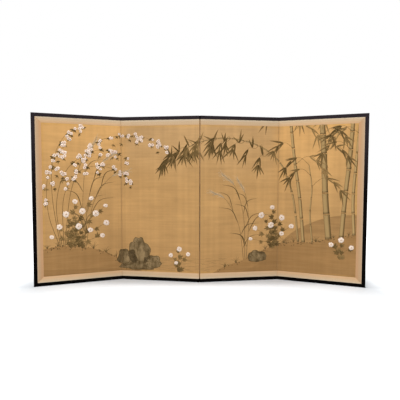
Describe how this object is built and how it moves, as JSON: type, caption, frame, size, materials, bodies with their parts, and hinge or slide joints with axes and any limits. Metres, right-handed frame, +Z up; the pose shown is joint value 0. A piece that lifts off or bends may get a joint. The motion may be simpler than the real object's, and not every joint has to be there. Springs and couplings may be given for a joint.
{
  "type": "folding screen",
  "caption": "Freestanding zigzag folding screen: lattice-cored panels faced with painted silk, brocade border and black lacquered trim, joined by paper hinges.",
  "frame": {"origin": "on the floor, at the middle of the open screen's bounding box", "axes": "+X along the screen's length, to the viewer's right; +Y away from the viewer, so the painted front faces -Y; +Z up"},
  "size_m": [1.7598, 0.2018, 0.914],
  "materials": {
    "lacquer": "black lacquered wood, satin",
    "core_wood": "planed cedar, bare",
    "bamboo": "split bamboo, bare",
    "lining_paper": "layers of pasted handmade paper",
    "backing_paper": "brown block-printed backing paper, matt",
    "painted_silk": "painted plain-weave silk, golden tan",
    "brocade": "pale beige brocade with a small woven pattern",
    "hinge_paper": "brown laminated hinge paper"
  },
  "bodies": {
    "panel_2": {"panel_2_back_cover": "backing_paper", "panel_2_back_lining": "lining_paper", "panel_2_bottom_trim": "lacquer", "panel_2_brocade_border": "brocade", "panel_2_centre_hinge_leaves": "hinge_paper", "panel_2_core_rails": "core_wood", "panel_2_core_stiles": "core_wood", "panel_2_cross_laths": "core_wood", "panel_2_front_lining": "lining_paper", "panel_2_left_hinge_leaves": "hinge_paper", "panel_2_painted_silk": "painted_silk", "panel_2_top_trim": "lacquer", "panel_2_trim_pegs": "bamboo", "panel_2_upright_laths": "core_wood"},
    "panel_1": {"panel_1_back_cover": "backing_paper", "panel_1_back_lining": "lining_paper", "panel_1_bottom_trim": "lacquer", "panel_1_brocade_border": "brocade", "panel_1_core_rails": "core_wood", "panel_1_core_stiles": "core_wood", "panel_1_corner_tongues": "core_wood", "panel_1_cross_laths": "core_wood", "panel_1_front_lining": "lining_paper", "panel_1_left_hinge_leaves": "hinge_paper", "panel_1_painted_silk": "painted_silk", "panel_1_side_trim": "lacquer", "panel_1_top_trim": "lacquer", "panel_1_trim_pegs": "bamboo", "panel_1_upright_laths": "core_wood"},
    "panel_3": {"panel_3_back_cover": "backing_paper", "panel_3_back_lining": "lining_paper", "panel_3_bottom_trim": "lacquer", "panel_3_brocade_border": "brocade", "panel_3_centre_hinge_leaves": "hinge_paper", "panel_3_core_rails": "core_wood", "panel_3_core_stiles": "core_wood", "panel_3_cross_laths": "core_wood", "panel_3_front_lining": "lining_paper", "panel_3_painted_silk": "painted_silk", "panel_3_right_hinge_leaves": "hinge_paper", "panel_3_top_trim": "lacquer", "panel_3_trim_pegs": "bamboo", "panel_3_upright_laths": "core_wood"},
    "panel_4": {"panel_4_back_cover": "backing_paper", "panel_4_back_lining": "lining_paper", "panel_4_bottom_trim": "lacquer", "panel_4_brocade_border": "brocade", "panel_4_core_rails": "core_wood", "panel_4_core_stiles": "core_wood", "panel_4_corner_tongues": "core_wood", "panel_4_cross_laths": "core_wood", "panel_4_front_lining": "lining_paper", "panel_4_painted_silk": "painted_silk", "panel_4_right_hinge_leaves": "hinge_paper", "panel_4_side_trim": "lacquer", "panel_4_top_trim": "lacquer", "panel_4_trim_pegs": "bamboo", "panel_4_upright_laths": "core_wood"}
  },
  "joints": [
    {"name": "left_fold", "type": "hinge", "parent": "panel_2", "child": "panel_1", "pos_m": [-0.44088, 0.08283, 0.457], "axis": [0, 0, 1], "range_deg": [-32.7, 147.3]},
    {"name": "centre_fold", "type": "hinge", "parent": "panel_2", "child": "panel_3", "pos_m": [0, 0.02713, 0.457], "axis": [0, 0, 1], "range_deg": [-19.2, 160.8]},
    {"name": "right_fold", "type": "hinge", "parent": "panel_3", "child": "panel_4", "pos_m": [0.44088, 0.08283, 0.457], "axis": [0, 0, -1], "range_deg": [-32.7, 144.3]}
  ]
}
